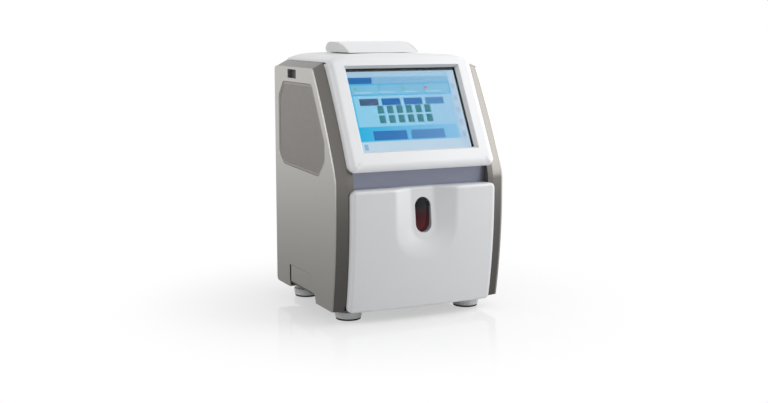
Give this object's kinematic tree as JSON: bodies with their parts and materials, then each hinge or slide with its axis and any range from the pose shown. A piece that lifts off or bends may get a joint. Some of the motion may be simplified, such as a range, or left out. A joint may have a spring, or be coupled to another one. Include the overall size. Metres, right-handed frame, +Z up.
{
  "type": "blood gas analyzer",
  "caption": "Benchtop blood gas analyzer with a sloped touch display, a drop-down front door with scooped sample port, a top printer, vented metal sides, a side drawer and round feet.",
  "frame": {"origin": "centre of the footprint, on the table", "axes": "+X to the operator's right, +Y to the back, +Z up"},
  "size_m": [0.32, 0.3291, 0.47],
  "materials": {
    "silver_panel": "brushed, clear lacquer",
    "dark_frame": "fine satin",
    "white_shell": "satin white",
    "door_shell": "satin light grey",
    "fascia_metal": "satin anodised",
    "black_glass": "polished",
    "display": "display surface",
    "dark_lens": "polished dark red",
    "steel": "ground",
    "sheet_steel": "zinc coated",
    "pale_foot": "satin grey",
    "black_rubber": "matt",
    "bay_plastic": "fine texture",
    "pack_blue": "satin",
    "pack_white": "satin",
    "cartridge_green": "satin",
    "block_metal": "machined",
    "clear_inlet": "polished",
    "magnet": "dull",
    "pump_plastic": "satin",
    "rotor_plastic": "satin",
    "motor_steel": "satin",
    "valve_plastic": "satin",
    "rear_shell": "fine texture",
    "board_green": "lacquered board",
    "case_metal": "folded sheet",
    "fan_black": "satin black",
    "socket_black": "satin black",
    "slider_grey": "satin",
    "drawer_silver": "brushed, clear lacquer",
    "paper": "paper",
    "core_card": "card",
    "cap_grey": "satin"
  },
  "bodies": {
    "cabinet": {"right_frame": "dark_frame", "left_frame": "dark_frame", "right_side_panel": "silver_panel", "left_side_panel": "silver_panel", "vent_grilles": "silver_panel", "upper_cover": "white_shell", "touch_glass": "black_glass", "lcd_panel": "display", "display_bracket": "sheet_steel", "header_rail": "sheet_steel", "recess_fascia": "fascia_metal", "hinge_brackets": "steel", "hinge_pins": "steel", "base_tray": "sheet_steel", "feet": "pale_foot", "foot_pads": "black_rubber", "bay_liner": "bay_plastic", "fluid_pack": "pack_blue", "qc_pack": "pack_white", "sensor_cartridge": "cartridge_green", "measuring_block": "block_metal", "sample_inlet": "clear_inlet", "catch_magnets": "magnet", "pump_housings": "pump_plastic", "pump_motors": "motor_steel", "valve_block": "valve_plastic", "rear_wall": "sheet_steel", "rear_cover": "rear_shell", "cover_screws": "steel", "main_board": "board_green", "power_supply": "case_metal", "fan_frame": "fan_black", "power_inlet": "socket_black", "data_sockets": "socket_black", "latch_pocket": "slider_grey", "drawer_guide": "bay_plastic", "printer_tub": "bay_plastic", "paper_spindle": "steel", "printer_motor": "motor_steel", "print_head": "case_metal", "printer_hinge_pins": "steel"},
    "front_door": {"front_door": "door_shell", "door_liner": "bay_plastic", "port_bezel": "bay_plastic", "flap_pin": "steel"},
    "sample_flap": {"sample_flap": "dark_lens"},
    "printer_cover": {"printer_cover": "white_shell", "printer_end_caps": "cap_grey"},
    "paper_roll": {"paper_roll": "paper", "paper_core": "core_card"},
    "platen": {"platen_roller": "black_rubber", "platen_shaft": "steel", "platen_gear": "rotor_plastic"},
    "motor_pinion": {"motor_pinion": "steel"},
    "lower_pump_rotor": {"lower_pump_rotor": "rotor_plastic"},
    "upper_pump_rotor": {"upper_pump_rotor": "rotor_plastic"},
    "fan_impeller": {"fan_impeller": "fan_black"},
    "power_rocker": {"power_rocker": "socket_black"},
    "side_drawer": {"side_drawer": "drawer_silver"},
    "panel_latch": {"panel_latch": "slider_grey"}
  },
  "joints": [
    {"name": "door_hinge", "type": "hinge", "parent": "cabinet", "child": "front_door", "pos_m": [0, -0.131, 0.027], "axis": [1, 0, 0], "range_deg": [0, 80]},
    {"name": "flap_hinge", "type": "hinge", "parent": "front_door", "child": "sample_flap", "pos_m": [0, -0.14496, 0.2046], "axis": [-1, 0, 0], "range_deg": [0, 60]},
    {"name": "printer_cover_hinge", "type": "hinge", "parent": "cabinet", "child": "printer_cover", "pos_m": [0, 0.1035, 0.4575], "axis": [-1, 0, 0], "range_deg": [0, 75]},
    {"name": "paper_roll_spin", "type": "hinge", "parent": "cabinet", "child": "paper_roll", "pos_m": [0, 0.066, 0.4195], "axis": [1, 0, 0], "continuous": true},
    {"name": "platen_spin", "type": "hinge", "parent": "cabinet", "child": "platen", "pos_m": [0, 0.028, 0.441], "axis": [1, 0, 0], "continuous": true},
    {"name": "pinion_spin", "type": "hinge", "parent": "cabinet", "child": "motor_pinion", "pos_m": [0.0548, 0.028, 0.4282], "axis": [1, 0, 0], "continuous": true},
    {"name": "lower_pump_spin", "type": "hinge", "parent": "cabinet", "child": "lower_pump_rotor", "pos_m": [0.025, -0.054, 0.066], "axis": [0, 1, 0], "continuous": true},
    {"name": "upper_pump_spin", "type": "hinge", "parent": "cabinet", "child": "upper_pump_rotor", "pos_m": [0.025, -0.054, 0.118], "axis": [0, 1, 0], "continuous": true},
    {"name": "fan_spin", "type": "hinge", "parent": "cabinet", "child": "fan_impeller", "pos_m": [-0.062, 0.1135, 0.345], "axis": [0, 1, 0], "continuous": true},
    {"name": "power_switch", "type": "hinge", "parent": "cabinet", "child": "power_rocker", "pos_m": [0.044, 0.1605, 0.078], "axis": [1, 0, 0], "range_deg": [-6, 6]},
    {"name": "drawer_slide", "type": "slide", "parent": "cabinet", "child": "side_drawer", "axis": [-1, 0, 0], "range_m": [0, 0.07]},
    {"name": "panel_latch_slide", "type": "slide", "parent": "cabinet", "child": "panel_latch", "axis": [0, 1, 0], "range_m": [0, 0.016]}
  ],
  "couplings": [
    {"joint": "platen_spin", "follows": "paper_roll_spin", "ratio": -4},
    {"joint": "pinion_spin", "follows": "paper_roll_spin", "ratio": 6.6667}
  ]
}
